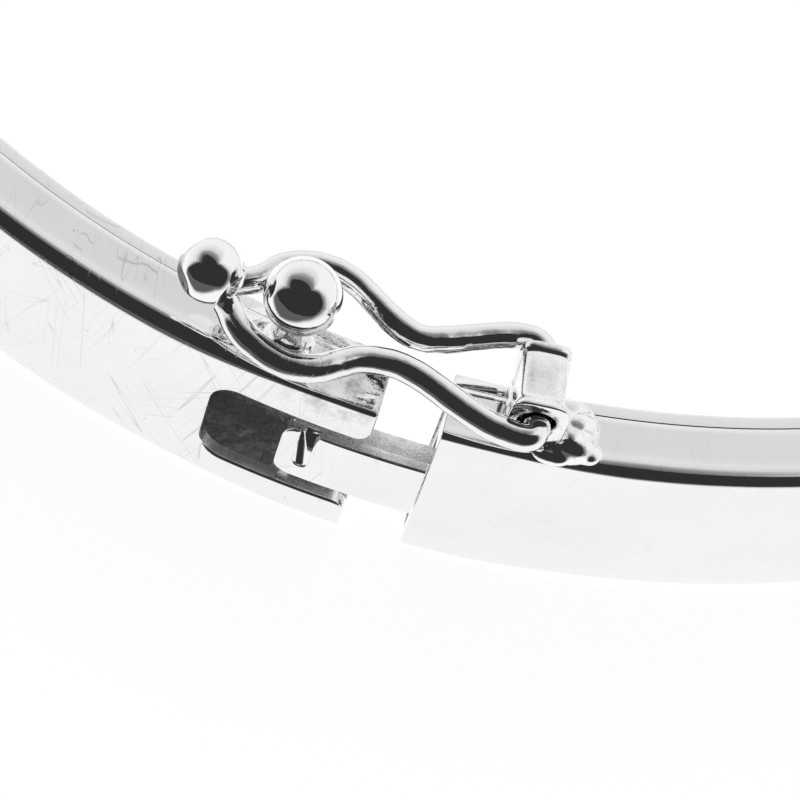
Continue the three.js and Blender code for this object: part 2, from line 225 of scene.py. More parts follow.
def shell_section(inset, seam, turn):
    upper = wall_and_edge(inset, seam, edge_radius(turn))
    lower = [(depth, WIDTH - z) for depth, z in reversed(upper)]
    face = [(crown_depth(z) + inset, z) for z in spread(upper[-1][1], lower[0][1], 16)[1:-1]]
    inside = [(crown_depth(z) + SHEET, z) for z in spread(SHEET, WIDTH - SHEET, 8)]
    return upper + face + lower + [(WALL_DEPTH, SHEET)] + inside + [(WALL_DEPTH, WIDTH - SHEET)]


def liner_section(inset, seam, turn):
    r = 0.12
    low, high = inset, WIDTH - inset
    near, far = WALL_DEPTH + 0.004, DEPTH - inset
    corners = [arc((far - r, high - LIP - r), r, 90, 0, 4), arc((far - r, low + LIP + r), r, 0, -90, 4)]
    return (
        [(near, high - LIP - seam), (near + seam, high - LIP)]
        + corners[0] + corners[1]
        + [(near + seam, low + LIP), (near, low + LIP + seam)]
    )


def half_turns(side, rounding, steps):
    """(turn, inset) along one half, dense near the clasp and rounded off at both ends."""
    start = turn_at(CLASP_HALF_GAP)
    stop = math.pi - turn_at(HINGE_END)
    rounded = end_steps(rounding)
    near = [(start + far / RING_X, inset) for far, inset in rounded]
    far_end = [(stop - far / RING_X, inset) for far, inset in reversed(rounded)]
    first, last = near[-1][0], far_end[0][0]
    middle = [(first + (last - first) * (i / steps) ** 1.25, 0.0) for i in range(1, steps)]
    return [(side * turn, inset) for turn, inset in near + middle + far_end]


INSIDE_POINTS = 11  # of a shell section: its inner corners and the inner side of its face


def mark_inside(obj, count, inside):
    """Gives the last faces of each span of a loft the second material."""
    for index, face in enumerate(obj.data.polygons):
        if len(face.vertices) == 4 and index % count >= count - inside:
            face.material_index = 1


def half_band(name, side, section, seam, rounding=END_ROUND, steps=150):
    rings = []
    for turn, inset in half_turns(side, rounding, steps):
        rings.append([on_band(turn, depth, z) for depth, z in section(inset, seam, turn)])
    band = loft(name, rings)
    mark_inside(band, len(rings[0]), INSIDE_POINTS if section is shell_section else 1)
    return band


# ---- cutters with a flared rim, so that the edge they leave is rounded ----


def outline_normals(outline):
    normals = []
    count = len(outline)
    for i in range(count):
        (x0, z0), (x1, z1) = outline[i - 1], outline[(i + 1) % count]
        length = math.hypot(x1 - x0, z1 - z0)
        normals.append(((z1 - z0) / length, -(x1 - x0) / length))
    return normals


def flared_cutter(outline, base, bottom, radius):
    """outline is (x, z), counterclockwise. The cut goes from the band's surface, at depth base, to bottom."""
    first = math.radians(25)
    run = (radius * (1 - math.cos(first)) + 0.06) / math.sin(first)
    wide = radius * (1 - math.sin(first)) + run * math.cos(first)
    levels = [(wide, base - 0.6), (wide, base - 0.06)]
    for degrees in (25, 42, 58, 74, 90):
        a = math.radians(degrees)
        levels.append((radius * (1 - math.sin(a)), base + radius * (1 - math.cos(a))))
    levels.append((0.0, bottom))
    normals = outline_normals(outline)
    rings = []
    for offset, depth in levels:
        ring = []
        for (x, z), (nx, nz) in zip(outline, normals):
            across, height = x + nx * offset, z + nz * offset
            ring.append(on_band(turn_at(across), depth + crown_depth(height), height))
        rings.append(ring)
    return loft("cutter", rings)


def slot_outline():
    edge, mouth, corner = -CLASP_HALF_GAP, SLOT["mouth"], SLOT["corner"]
    low, high = MIDDLE - SLOT["half_width"], MIDDLE + SLOT["half_width"]
    end = SLOT["end"]
    points = [(edge + 1.4, low - mouth), (edge + 1.4, high + mouth)]
    points += arc((edge - mouth, high + mouth), mouth, 0, -90, 8)
    points += [(x, high) for x in spread(edge - mouth, end + corner, 14)[1:-1]]
    points += arc((end + corner, high - corner), corner, 90, 180, 10)
    points += arc((end + corner, low + corner), corner, 180, 270, 10)
    points += [(x, low) for x in spread(end + corner, edge - mouth, 14)[1:-1]]
    points += arc((edge - mouth, low - mouth), mouth, 90, 0, 8)
    return points


def rounded_outline(x0, x1, z0, z1, radius, steps=6):
    return (
        arc((x1 - radius, z0 + radius), radius, -90, 0, steps)
        + arc((x1 - radius, z1 - radius), radius, 0, 90, steps)
        + arc((x0 + radius, z1 - radius), radius, 90, 180, steps)
        + arc((x0 + radius, z0 + radius), radius, 180, 270, steps)
    )


# ---- planks: strips, plates, bars and blocks that follow the band ----


def plank_section(middle, half_width, top, bottom, radius, inset):
    """A rounded bar section, with enough points along its outer side for the crown to bend it."""
    r = max(radius - inset, 0.004)
    low, high = middle - half_width + inset, middle + half_width - inset
    near, far = top + inset, bottom - inset
    points = arc((near + r, high - r), r, 180, 90, 4) + arc((far - r, high - r), r, 90, 0, 4)
    points += arc((far - r, low + r), r, 0, -90, 4) + arc((near + r, low + r), r, -90, -180, 4)
    points += [(near, z) for z in spread(low + r, high - r, 8)[1:-1]]
    return points


def plank(name, turns, middle, half_width, top, bottom, radius):
    """turns is (turn, inset); half_width is a number, or a function of the index in turns."""
    rings = []
    for index, (turn, inset) in enumerate(turns):
        width = half_width(index) if callable(half_width) else half_width
        section = plank_section(middle, width, top, bottom, radius, inset)
        rings.append([on_band(turn, depth + crown_depth(z), z) for depth, z in section])
    return loft(name, rings)


def plank_turns(start, end, radius, steps):
    """(turn, inset) from one turn to another with both ends rounded off."""
    direction = 1 if end > start else -1
    rounded = end_steps(radius, 3)
    near = [(start + direction * far / RING_X, inset) for far, inset in rounded]
    far_end = [(end - direction * far / RING_X, inset) for far, inset in reversed(rounded)]
    return near + [(t, 0.0) for t in spread(near[-1][0], far_end[0][0], steps)[1:-1]] + far_end


# ---- materials ----


def link(tree, source, target):
    tree.links.new(source, target)


def add_node(tree, kind, **settings):
    node = tree.nodes.new(kind)
    for key, value in settings.items():
        setattr(node, key, value)
    return node


def ramp(tree, source, stops):
    """Turns a value into another by stops of (value in, value out), straight between them."""
    node = add_node(tree, "ShaderNodeValToRGB")
    elements = node.color_ramp.elements
    while len(elements) < len(stops):
        elements.new(0.5)
    for element, (position, value) in zip(elements, stops):
        element.position = position
        element.color = (value, value, value, 1)
    link(tree, source, node.inputs["Fac"])
    return node.outputs["Color"]


def noise_of(tree, scale, detail, roughness, shift):
    """Noise over the object, with scale cells to the metre."""
    node = add_node(tree, "ShaderNodeTexNoise")
    node.inputs["Scale"].default_value = 1.0
    node.inputs["Detail"].default_value = detail
    node.inputs["Roughness"].default_value = roughness
    coordinates = add_node(tree, "ShaderNodeTexCoord")
    mapping = add_node(tree, "ShaderNodeMapping")
    mapping.inputs["Location"].default_value = shift
    mapping.inputs["Scale"].default_value = (scale, scale, scale)
    link(tree, coordinates.outputs["Object"], mapping.inputs["Vector"])
    link(tree, mapping.outputs["Vector"], node.inputs["Vector"])
    return node.outputs["Fac"]


def math_of(tree, operation, a, b=None):
    """One step of arithmetic; a and b are numbers or sockets."""
    node = add_node(tree, "ShaderNodeMath", operation=operation)
    for socket, value in zip(node.inputs, (a, b)):
        if value is None:
            continue
        if isinstance(value, (int, float)):
            socket.default_value = value
        else:
            link(tree, value, socket)
    return node.outputs["Value"]


def scratches(tree, lean, length, spacing, thin, rarity, shift):
    """Fine lines where a noise stretched along one direction passes its middle value, here and there."""
    coordinates = add_node(tree, "ShaderNodeTexCoord")
    mapping = add_node(tree, "ShaderNodeMapping", vector_type="TEXTURE")
    mapping.inputs["Location"].default_value = [part * MM * 10 for part in shift]
    mapping.inputs["Rotation"].default_value = (0, math.radians(lean), 0)
    mapping.inputs["Scale"].default_value = (length * MM, 3 * MM, spacing * MM)
    link(tree, coordinates.outputs["Object"], mapping.inputs["Vector"])
    streak = add_node(tree, "ShaderNodeTexNoise")
    streak.inputs["Scale"].default_value = 1.0
    streak.inputs["Detail"].default_value = 0.0
    link(tree, mapping.outputs["Vector"], streak.inputs["Vector"])
    off_middle = math_of(tree, "ABSOLUTE", math_of(tree, "SUBTRACT", streak.outputs["Fac"], 0.5))
    line = ramp(tree, off_middle, [(0.0, 1.0), (thin, 0.0)])
    allowed = ramp(tree, noise_of(tree, 300, 1.0, 0.5, shift), [(rarity, 0.0), (rarity + 0.04, 1.0)])
    return math_of(tree, "MULTIPLY", line, allowed)


def near(tree, spot, inner, outer, far_value=0.0):
    """1 within the inner distance of a spot (mm), falling to far_value at the outer distance."""
    coordinates = add_node(tree, "ShaderNodeTexCoord")
    distance = add_node(tree, "ShaderNodeVectorMath", operation="DISTANCE")
    distance.inputs[1].default_value = Vector(spot) * MM
    link(tree, coordinates.outputs["Object"], distance.inputs[0])
    away = math_of(tree, "MULTIPLY", distance.outputs["Value"], 1 / (20 * MM))
    return ramp(tree, away, [(inner / 20, 1.0), (outer / 20, far_value)])


def tint(tree, base, amount, dark):
    """A colour between base and dark, by amount, which is a socket."""
    mix = add_node(tree, "ShaderNodeMix", data_type="RGBA")
    mix.inputs["A"].default_value = (*base, 1)
    mix.inputs["B"].default_value = (*dark, 1)
    link(tree, amount, mix.inputs["Factor"])
    return mix.outputs["Result"]


def bumped(tree, shader, height, distance, strength):
    bump = add_node(tree, "ShaderNodeBump")
    bump.inputs["Distance"].default_value = distance * MM
    bump.inputs["Strength"].default_value = strength
    link(tree, height, bump.inputs["Height"])
    link(tree, bump.outputs["Normal"], shader.inputs["Normal"])


def metal(name):
    material = bpy.data.materials.new(name)
    material.use_nodes = True
    shader = material.node_tree.nodes["Principled BSDF"]
    shader.inputs["Metallic"].default_value = 1.0
    return material, material.node_tree, shader


# Families of scratches: (lean from level, length, spacing, how rare, shift of the pattern).
SCRATCH_FAMILIES = (
    (-72, 14, 0.38, 0.47, (0.1, 0.2, 0.3)),
    (52, 14, 0.45, 0.49, (0.7, 0.1, 0.9)),
    (-38, 12, 0.55, 0.50, (0.9, 0.6, 0.2)),
    (85, 10, 0.42, 0.52, (0.4, 0.8, 0.5)),
)
SCUFFED_SPOT = (-7.5, -27.0, 4.0)  # on the box half, where the catch is worked with a nail
RUBBED_SPOT = (-2.4, -26.6, 6.5)  # the end of the upper prong


def polished_silver(name, tone, smudge=(0.02, 0.08), wear=1.0, relief=0.012):
    """Mirror silver, scratched and pitted near the clasp; smudge is its least and greatest roughness."""
    material, tree, shader = metal(name)
    lines = None
    for lean, length, spacing, rarity, shift in SCRATCH_FAMILIES:
        family = scratches(tree, lean, length, spacing, 0.011, rarity, shift)
        lines = math_of(tree, "MAXIMUM", lines, family) if lines else family
    pits = ramp(tree, noise_of(tree, 2600, 2.0, 0.6, (3, 1, 2)), [(0.72, 0.0), (0.77, 1.0)])
    wide = noise_of(tree, 420, 3.0, 0.5, (1, 5, 2))
    where = near(tree, SCUFFED_SPOT, 3.5, 9.5, 0.12)
    lines = math_of(tree, "MULTIPLY", lines, 0.42 * wear)
    pits = math_of(tree, "MULTIPLY", pits, 0.5 * wear)
    marks = math_of(tree, "MULTIPLY", math_of(tree, "MAXIMUM", lines, pits), where)
    blotches = ramp(tree, noise_of(tree, 1500, 4.0, 0.6, (6, 2, 8)), [(0.46, 0.0), (0.66, 0.85)])
    rubbed = math_of(tree, "MULTIPLY", blotches, near(tree, RUBBED_SPOT, 0.9, 2.2))
    marks = math_of(tree, "MAXIMUM", marks, math_of(tree, "MULTIPLY", rubbed, wear))
    cloud = ramp(tree, wide, [(0.35, 0.0), (0.75, 0.07)])
    shade = math_of(tree, "ADD", marks, cloud)
    clean, dull = (tone, tone, tone * 0.995), (tone * 0.42,) * 3
    link(tree, tint(tree, clean, shade, dull), shader.inputs["Base Color"])
    rough = ramp(tree, wide, [(0.3, smudge[0]), (0.7, smudge[1])])
    link(tree, rough, shader.inputs["Roughness"])
    slow = noise_of(tree, 900, 3.0, 0.55, (7, 3, 1))
    swell, sunk = math_of(tree, "MULTIPLY", slow, 0.55), math_of(tree, "MULTIPLY", marks, 0.6)
    bumped(tree, shader, math_of(tree, "SUBTRACT", swell, sunk), relief, 0.8)
    return material


def mottled_silver(name, light, dark, roughness, grain, balance=(0.38, 0.62), relief=0.03, metallic=1.0):
    """Tarnished or filed silver: blotches of light and dark metal with a grain, from balance[0] to [1]."""
    material, tree, shader = metal(name)
    shader.inputs["Metallic"].default_value = metallic
    blotch = noise_of(tree, grain, 6.0, 0.62, (2, 4, 1))
    fine = noise_of(tree, grain * 7, 3.0, 0.6, (5, 1, 3))
    amount = ramp(tree, blotch, [(balance[0], 0.0), (balance[1], 1.0)])
    speck = math_of(tree, "MULTIPLY", ramp(tree, fine, [(0.5, 0.0), (0.72, 1.0)]), 0.45)
    shade = math_of(tree, "MAXIMUM", amount, speck)
    link(tree, tint(tree, light, shade, dark), shader.inputs["Base Color"])
    rough = ramp(tree, fine, [(0.3, roughness[0]), (0.7, roughness[1])])
    link(tree, rough, shader.inputs["Roughness"])
    coarse_part = math_of(tree, "MULTIPLY", blotch, 0.7)
    fine_part = math_of(tree, "MULTIPLY", fine, 0.3)
    bumped(tree, shader, math_of(tree, "ADD", coarse_part, fine_part), relief, 0.7)
    return material


SILVER = polished_silver("polished silver", 0.915)
WIRE_SILVER = polished_silver("drawn silver wire", 0.92, (0.02, 0.05), 0.2, 0.06)
BALL_SILVER = polished_silver("ball silver", 0.95, (0.01, 0.03), 0.2, 0.03)
# The rest are given as: light colour, dark colour, least and greatest roughness, grain.
FILED = mottled_silver(
    "filed silver", (0.93, 0.93, 0.92), (0.6, 0.59, 0.58), (0.08, 0.2), 1300, (0.5, 0.9), relief=0.02
)
RAW = mottled_silver(
    "raw silver inside", (1.0, 0.99, 0.98), (0.72, 0.71, 0.70), (0.42, 0.62), 520, relief=0.6
)
SIDE_PLATE = mottled_silver(
    "tongue side silver", (0.98, 0.97, 0.96), (0.55, 0.54, 0.53), (0.2, 0.4), 1700, (0.45, 0.78), metallic=0.9
)
TARNISHED = mottled_silver(
    "tarnished silver", (0.86, 0.85, 0.84), (0.5, 0.49, 0.48), (0.3, 0.5), 1000, relief=0.2
)
SOLDER = mottled_silver(
    "solder", (0.95, 0.95, 0.94), (0.62, 0.60, 0.59), (0.03, 0.1), 600, (0.55, 0.9), relief=0.02
)


def finish_piece(obj, body, slot, material, *nodes, inner=None):
    """Gives a piece its material, and inner to its marked faces; then attaches it to its body and hides its
    CAD nodes. The slot is not used.
    """
    inner_faces = [face.material_index for face in obj.data.polygons]
    obj.data.materials.clear()
    obj.data.materials.append(material)
    if inner:
        obj.data.materials.append(inner)
        obj.data.polygons.foreach_set("material_index", inner_faces)
    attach(obj, body)
    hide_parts(*nodes)


# ---- the two halves ----


def build_halves():
    shell = half_band("box_shell", BOX, shell_section, 0.008)
    carve(shell, flared_cutter(slot_outline(), 0.0, 1.3, 0.12))
    finish_piece(shell, "box_half", "polished_silver", SILVER, "box_half_outer_shell", inner=RAW)
    liner = half_band("box_liner", BOX, liner_section, 0.008, 0.05)
    finish_piece(liner, "box_half", "polished_silver", SILVER, "box_half_inner_liner", inner=RAW)
    shell = half_band("tongue_half_shell", TONGUED, shell_section, 0.024, 0.05)
    finish_piece(shell, "tongue_half", "polished_silver", SILVER, "tongue_half_outer_shell", inner=RAW)
    liner = half_band("tongue_half_liner", TONGUED, liner_section, 0.024, 0.05)
    finish_piece(liner, "tongue_half", "polished_silver", SILVER, "tongue_half_inner_liner", inner=RAW)


def core_plate(name, turn_from, turn_to):
    """A plate that fills the hollow from wall to wall."""
    low = SHEET + SEAM
    turns = plank_turns(turn_from, turn_to, 0.04, 4)
    return plank(name, turns, MIDDLE, MIDDLE - low, low, WALL_DEPTH - CROWN, 0.05)


def build_plates():
    plate = core_plate("stop_plate", turn_at(STOP_PLATE_X), turn_at(STOP_PLATE_X + SHEET))
    finish_piece(plate, "box_half", "oxidised_silver", TARNISHED, "box_half_stop_plate")
    outer = math.pi - turn_at(HINGE_END + 0.05)
    inner = math.pi - turn_at(HINGE_END + 0.05 + SHEET)
    for side, body in ((BOX, "box_half"), (TONGUED, "tongue_half")):
        node = body + "_hinge_end_cap"
        cap = core_plate(node + "_fine", side * inner, side * outer)
        finish_piece(cap, body, "worn_silver", FILED, node)
    plate = core_plate("clasp_end_plate", turn_at(END_PLATE["x"]), turn_at(END_PLATE["x"] + SHEET))
    half, corner = END_PLATE["window_half_width"], END_PLATE["window_corner"]
    window = rounded_outline(0.2, END_PLATE["window_end"], MIDDLE - half, MIDDLE + half, corner)
    carve(plate, flared_cutter(window, 0.3, 1.42, 0.03))
    finish_piece(plate, "tongue_half", "worn_silver", FILED, "tongue_half_clasp_end_plate")
    wall, half = SHEET + SEAM, LATCH_BAR["half_width"]
    for node, middle in (("latch_bar_lower", wall + half), ("latch_bar_upper", WIDTH - wall - half)):
        turns = plank_turns(turn_at(LATCH_BAR["start"]), turn_at(LATCH_BAR["end"]), 0.06, 4)
        bottom = wall + LATCH_BAR["thickness"]
        bar = plank(node + "_fine", turns, middle, half, wall + 0.02, bottom, 0.08)
        finish_piece(bar, "box_half", "oxidised_silver", TARNISHED, node)


# ---- tongue ----


def mark_sides(obj):
    """Gives the faces that look along the ring's axis the second material."""
    for face in obj.data.polygons:
        if abs(face.normal.z) > 0.8:
            face.material_index = 1


def build_tongue():
    nose, root, corner = TONGUE["nose"], TONGUE["root"], TONGUE["corner"]
    rim = 0.09
    along = [nose + far for far, _ in end_steps(rim, 5)]
    along += [nose + corner * (1 - math.cos(math.radians(a))) for a in (40, 50, 60, 70, 80, 90)]
    along += spread(nose + corner, root, 26)[1:]
    insets = [inset for _, inset in end_steps(rim, 5)] + [0.0] * (len(along) - 6)

    def half_width(index):
        back = max(corner - (along[index] - nose), 0.0)
        return TONGUE["half_width"] - corner + math.sqrt(max(corner ** 2 - back ** 2, 0.0))

    turns = [(turn_at(x), inset) for x, inset in zip(along, insets)]
    top, bottom = TONGUE["top"], TONGUE["top"] + TONGUE["thickness"]
    strip = plank("tongue_top_strip", turns, MIDDLE, half_width, top, bottom, rim)
    x, half = GROOVE["x"], GROOVE["half_width"]
    groove = rounded_outline(x - half, x + half, MIDDLE + GROOVE["end"], MIDDLE + 2, half * 0.9)
    mark_sides(strip)
    carve(strip, flared_cutter(groove, top, top + GROOVE["depth"], 0.05))
    notch = rounded_outline(x - half * 0.6, x + half * 1.4, MIDDLE + 1.08, MIDDLE + 2, 0.1)
    carve(strip, flared_cutter(notch, top, top + 0.22, 0.05))
    finish_piece(strip, "tongue", "polished_silver", SILVER, "tongue_strip", inner=SIDE_PLATE)

    depth = bottom + SEAM
    turns = plank_turns(turn_at(LEAF["nose"]), turn_at(LEAF["tail"]), 0.08, 24)
    under = depth + LEAF["thickness"]
    leaf = plank("tongue_return_leaf", turns, MIDDLE, LEAF["half_width"], depth - 0.14, under, 0.02)
    turns = plank_turns(turn_at(LUG["x"]), turn_at(LUG["x"] + LUG["length"]), 0.06, 4)
    lugs = plank("tongue_lugs", turns, MIDDLE, LUG["half_width"], depth + LUG["drop"], under - 0.01, 0.08)
    combine(leaf, "UNION", lugs)
    finish_piece(leaf, "tongue", "oxidised_silver", SIDE_PLATE, "tongue_spring_leaf")

    turns = plank_turns(turn_at(ROOT_BLOCK["x"]), turn_at(LEAF["tail"]), 0.05, 4)
    top, bottom = under + ROOT_BLOCK["under_leaf"], WALL_DEPTH - 0.05
    block = plank("tongue_root", turns, MIDDLE, ROOT_BLOCK["half_width"], top, bottom, 0.08)
    finish_piece(block, "tongue_half", "oxidised_silver", TARNISHED, "tongue_root_block")


# ---- safety catch ----


def between_poles(name, rings, foot, top, sharp):
    """A closed skin over rings of points, drawn together to one point at the foot and one at the top."""
    segments = len(rings[0])
    points = [p for ring in rings for p in ring]
    last = len(points) - segments
    foot_index, top_index = len(points), len(points) + 1
    faces = []
    for start in range(0, last, segments):
        for i in range(segments):
            j = (i + 1) % segments
            faces.append((start + i, start + j, start + segments + j, start + segments + i))
    for i in range(segments):
        j = (i + 1) % segments
        faces.append((foot_index, j, i))
        faces.append((top_index, last + i, last + j))
    return make_object(name, points + [foot, top], faces, sharp)


def turned(name, profile, centre, segments, wobble):
    """A profile of (radius, z) turned about a vertical axis through centre. Its ends lie on the axis."""
    rings = []
    for radius, z in profile[1:-1]:
        loop = [Vector((x, y, z)) for x, y in circle(radius, segments)]
        rings.append([p + p.normalized() * wobble * noise.noise(p * 1.3) + centre for p in loop])
    foot, top = [centre + Vector((0, 0, profile[end][1])) for end in (0, -1)]
    return between_poles(name, rings, foot, top, 60)


MELT_CELL = 0.045  # the cell of the remesh, in millimetres


def melted(name, lumps):
    """Lumps are (centre, radii): ellipsoids merged by a fine remesh, then softened and roughened."""
    shape = bmesh.new()
    for centre, radii in lumps:
        scale = Matrix.Diagonal((*[r * MM for r in radii], 1))
        placed = Matrix.Translation(centre * MM) @ scale
        bmesh.ops.create_icosphere(shape, subdivisions=3, radius=1, matrix=placed)
    mesh = bpy.data.meshes.new(name)
    shape.to_mesh(mesh)
    shape.free()
    obj = bpy.data.objects.new(name, mesh)
    bpy.context.scene.collection.objects.link(obj)
    remesh = obj.modifiers.new("melt", "REMESH")
    remesh.mode, remesh.voxel_size = "VOXEL", MELT_CELL * MM
    soften = obj.modifiers.new("soften", "SMOOTH")
    soften.factor, soften.iterations = 0.6, 16
    bpy.context.view_layer.update()
    bake_modifiers(obj)
    for vertex in obj.data.vertices:
        p = vertex.co / MM
        vertex.co += vertex.normal * MM * (0.06 * noise.noise(p * 1.3) + 0.012 * noise.noise(p * 3.5))
    smooth(obj, NEVER_SHARP)
    return obj


def box_centre(node):
    low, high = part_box(node)
    return (low + high) / 2 / MM


def build_ball():
    low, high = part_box("catch_ball")
    centre = Vector(((low.x + high.x) / 2, (low.y + high.y) / 2, 0)) / MM
    radius, rise, stem = BALL["radius"], BALL["rise"], BALL["stem"]
    start = math.asin((stem + 0.03) / radius)
    profile = [(0, WIDTH - LIP), (stem + 0.14, WIDTH - LIP), (stem + 0.05, WIDTH + 0.1), (stem, WIDTH + 0.3)]
    profile += [(stem, WIDTH + rise - radius * math.cos(start) - 0.12)]
    for a in spread(start, math.pi, 40):
        profile.append((radius * math.sin(a), WIDTH + rise - radius * math.cos(a)))
    ball = turned("catch_ball_fine", profile, centre, 80, 0.012)
    finish_piece(ball, "box_half", "polished_silver", BALL_SILVER, "catch_ball")
    foot = WIDTH - LIP
    skirt = [(0, foot - 0.02), (0.82, foot - 0.02), (0.79, foot + 0.03), (0.7, foot + 0.07)]
    skirt += [(0.62, foot + 0.13), (0.56, foot + 0.22), (0.53, foot + 0.32), (0.515, foot + 0.42)]
    skirt += [(0, foot + 0.43)]
    seat = turned("ball_solder_seat", skirt, centre, 64, 0.01)
    finish_piece(seat, "box_half", "silver_solder", SOLDER, "catch_ball_solder")


# The flats hammered on the tip ball: (outward direction, distance from the centre of a unit ball).
TIP_FLATS = (((-0.72, 0.55, 0.42), 0.93), ((-0.75, -0.62, -0.1), 0.92))
FLAT_BORDER = 0.06


def hammered(p):
    """Pushes a point of the unit ball in where it has a flat, with a soft border."""
    made = p.copy()
    for direction, distance in TIP_FLATS:
        normal = Vector(direction).normalized()
        over = made.dot(normal) - distance
        if over > -FLAT_BORDER:
            pushed = smoothstep((over + FLAT_BORDER) / 0.16)
            made -= normal * (over + FLAT_BORDER) * 0.72 * pushed
    return made * (1 + 0.012 * noise.noise(p * 2.2))


def build_tip():
    centre = box_centre("catch_tip_ball")
    rings = []
    for a in spread(0, math.pi, 40)[1:-1]:
        loop = [Vector((x, y, -math.cos(a))) for x, y in circle(math.sin(a), 72)]
        rings.append([centre + hammered(p) * TIP_RADIUS for p in loop])
    foot, top = [centre + hammered(Vector((0, 0, z))) * TIP_RADIUS for z in (-1, 1)]
    tip = between_poles("catch_tip_fine", rings, foot, top, NEVER_SHARP)
    finish_piece(tip, "safety_catch", "polished_silver", BALL_SILVER, "catch_tip_ball")


WIRE_OUTER_SIDE = [
    (-6.3, -26.35), (-5.69, -27.09), (-4.96, -27.53), (-4.27, -27.77), (-3.66, -27.74), (-3.09, -27.54),
    (-2.56, -27.17), (-2.02, -26.84), (-1.43, -26.7), (-0.81, -26.67), (-0.16, -26.81), (0.53, -27.08),
    (1.23, -27.39), (2.09, -27.71), (2.85, -27.83),
]
WIRE_INNER_SIDE = [
    (2.67, -24.3), (2.07, -24.45), (1.36, -24.75), (0.65, -25.09), (0.09, -25.32), (-0.5, -25.46),
    (-1.17, -25.25), (-1.91, -24.78), (-2.67, -24.27), (-3.35, -24.03), (-3.98, -23.99), (-4.56, -24.16),
    (-5.1, -24.49), (-5.58, -25.07), (-6.3, -25.5),
]

POST_CENTRE = on_band(turn_at(POST["across"]), POST["depth"], WIDTH + WIRE_RISE)
POST_FOOT, POST_BELOW = [on_band(turn_at(POST["across"]), depth, 0) for depth in (0, 1)]
POST_INWARD = (POST_BELOW - POST_FOOT).normalized()
POST_SIDE = Vector((POST_INWARD.y, -POST_INWARD.x, 0))


def along_post(distance):
    return POST_CENTRE + POST_INWARD * distance


def wire_route():
    z = WIDTH + WIRE_RISE
    bend = POST["length"] / 2 + WIRE_RADIUS
    lean = Vector((-0.22, 0, 0))
    route = [Vector((x, y, z)) for x, y in WIRE_OUTER_SIDE]
    route += [along_post(-bend - 0.05) + lean, along_post(-bend + 0.25), along_post(-0.6)]
    route += [along_post(0.6), along_post(bend - 0.25), along_post(bend + 0.05) + lean]
    return route + [Vector((x, y, z)) for x, y in WIRE_INNER_SIDE]


def catmull(points, steps):
    """A smooth line through the points."""
    padded = [2 * points[0] - points[1], *points, 2 * points[-1] - points[-2]]
    line = []
    for i in range(1, len(padded) - 2):
        a, b, c, d = padded[i - 1:i + 3]
        for s in range(steps):
            t = s / steps
            bend, twist = 2 * a - 5 * b + 4 * c - d, 3 * b - a - 3 * c + d
            line.append(0.5 * (2 * b + (c - a) * t + bend * t * t + twist * t ** 3))
    return line + [points[-1]]


def build_wire():
    line = catmull(wire_route(), 12)
    rings = []
    for index, p in enumerate(line):
        ahead, behind = line[min(index + 1, len(line) - 1)], line[max(index - 1, 0)]
        tangent = (ahead - behind).normalized()
        side = tangent.cross(Vector((0, 0, 1))).normalized()
        up = side.cross(tangent)
        ring = []
        for x, y in circle(1, 28):
            direction = side * x + up * y
            spot = p + direction * 0.4
            dent = 0.018 * noise.noise(spot * 0.9) + 0.008 * noise.noise(spot * 2.6)
            ring.append(p + direction * (WIRE_RADIUS - 0.022 + dent))
        rings.append(ring)
    wire = loft("catch_wire_fine", rings, sharp=70)
    finish_piece(wire, "safety_catch", "polished_silver", WIRE_SILVER, "catch_wire")


def squarish(half_width, half_height, count):
    """count points round a rectangle with softly rounded corners, evenly by angle."""
    power = 4.2
    points = []
    for x, y in circle(1, count):
        size = (abs(x / half_width) ** power + abs(y / half_height) ** power) ** (-1 / power)
        points.append((x * size, y * size))
    return points


def round_post(distance, loop):
    """A loop of (across, height) points round the post's axis, at a distance along it."""
    return [along_post(distance) + POST_SIDE * x + Vector((0, 0, z)) for x, z in loop]


# The mound of solder that ran out beside the post: (across from the post, depth, height, radii).
SOLDER_LUMPS = (
    (1.35, 0.85, 0.1, (0.75, 0.62, 0.62)),
    (1.55, 1.35, 0.12, (0.66, 0.65, 0.66)),
    (1.35, 1.85, 0.1, (0.7, 0.5, 0.52)),
    (0.9, 1.3, 0.2, (0.8, 0.8, 0.5)),
    (1.75, 0.75, 0.0, (0.62, 0.45, 0.36)),
    (0.7, 0.5, 0.0, (0.7, 0.4, 0.3)),
)


# How far the rims at the ends of the post stand out; the front one is the end away from the wrist.
FRONT_RIM, REAR_RIM = 0.17, 0.05
# The places in these are distances from the end of the post.
FRONT_FLARE = ((0.14, 0.96), (0.24, 0.75), (0.34, 0.4), (0.44, 0.12), (0.55, 0.0))  # (place, part of the rim)
REAR_GROOVE = ((0.42, 0.0), (0.34, -0.035), (0.26, 0.02), (0.18, REAR_RIM))  # (place, growth)
BORE_FLARE = ((0.0, 0.1), (0.08, 0.02), (0.2, 0.0))  # (place, growth of the bore)


